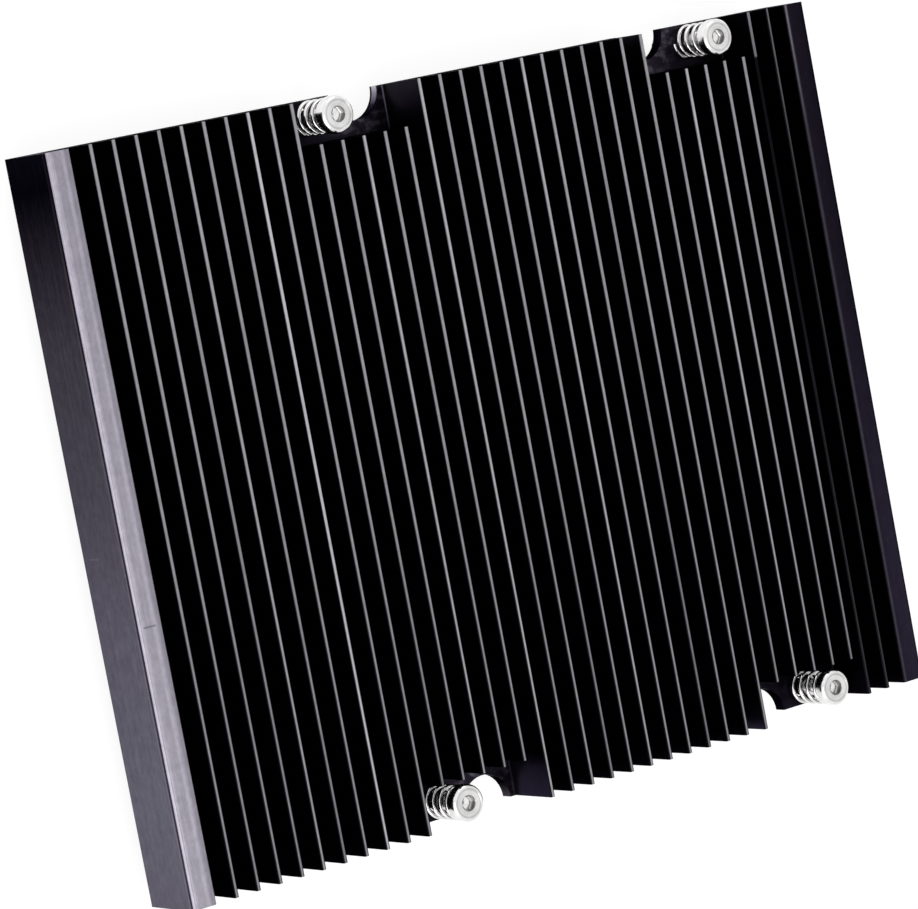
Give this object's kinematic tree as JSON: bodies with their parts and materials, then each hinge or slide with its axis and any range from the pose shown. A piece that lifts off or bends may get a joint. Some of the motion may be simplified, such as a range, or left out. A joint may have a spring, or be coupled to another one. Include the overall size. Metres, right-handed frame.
{
  "type": "heat sink",
  "caption": "Flat black plate heat sink with long straight fins between side rails, stepped lower at one side, held down by spring-loaded captive screws in end notches.",
  "frame": {"origin": "middle of the flat contact face under the base", "axes": "+X across the fins from the full-height rail to the lower rail, +Y along the fins, +Z from the contact face to the fin tips"},
  "size_m": [0.1368, 0.106, 0.016],
  "materials": {
    "black_anodised_aluminium": "satin black anodised",
    "nickel_plated_steel": "bright nickel plated",
    "spring_steel": "drawn bright wire",
    "ring_steel": "phosphated"
  },
  "bodies": {
    "finned_body": {"finned_body": "black_anodised_aluminium", "spring_front_left": "spring_steel", "spring_front_right": "spring_steel", "spring_back_left": "spring_steel", "spring_back_right": "spring_steel"},
    "ring_front_left": {"ring_front_left": "ring_steel"},
    "screw_front_left": {"screw_front_left": "nickel_plated_steel"},
    "ring_front_right": {"ring_front_right": "ring_steel"},
    "screw_front_right": {"screw_front_right": "nickel_plated_steel"},
    "ring_back_left": {"ring_back_left": "ring_steel"},
    "screw_back_left": {"screw_back_left": "nickel_plated_steel"},
    "ring_back_right": {"ring_back_right": "ring_steel"},
    "screw_back_right": {"screw_back_right": "nickel_plated_steel"}
  },
  "joints": [
    {"name": "press_front_left", "type": "slide", "parent": "finned_body", "child": "ring_front_left", "axis": [0, 0, 1], "range_m": [-0.003, 0], "stiffness_N_per_m": 800, "springref_m": 0.003, "deforming": ["spring_front_left"]},
    {"name": "turn_front_left", "type": "hinge", "parent": "ring_front_left", "child": "screw_front_left", "pos_m": [-0.0197, -0.0503, 0], "axis": [0, 0, 1], "continuous": true},
    {"name": "press_front_right", "type": "slide", "parent": "finned_body", "child": "ring_front_right", "axis": [0, 0, 1], "range_m": [-0.003, 0], "stiffness_N_per_m": 800, "springref_m": 0.003, "deforming": ["spring_front_right"]},
    {"name": "turn_front_right", "type": "hinge", "parent": "ring_front_right", "child": "screw_front_right", "pos_m": [0.0503, -0.0503, 0], "axis": [0, 0, 1], "continuous": true},
    {"name": "press_back_left", "type": "slide", "parent": "finned_body", "child": "ring_back_left", "axis": [0, 0, 1], "range_m": [-0.003, 0], "stiffness_N_per_m": 800, "springref_m": 0.003, "deforming": ["spring_back_left"]},
    {"name": "turn_back_left", "type": "hinge", "parent": "ring_back_left", "child": "screw_back_left", "pos_m": [-0.0197, 0.0503, 0], "axis": [0, 0, 1], "continuous": true},
    {"name": "press_back_right", "type": "slide", "parent": "finned_body", "child": "ring_back_right", "axis": [0, 0, 1], "range_m": [-0.003, 0], "stiffness_N_per_m": 800, "springref_m": 0.003, "deforming": ["spring_back_right"]},
    {"name": "turn_back_right", "type": "hinge", "parent": "ring_back_right", "child": "screw_back_right", "pos_m": [0.0503, 0.0503, 0], "axis": [0, 0, 1], "continuous": true}
  ]
}
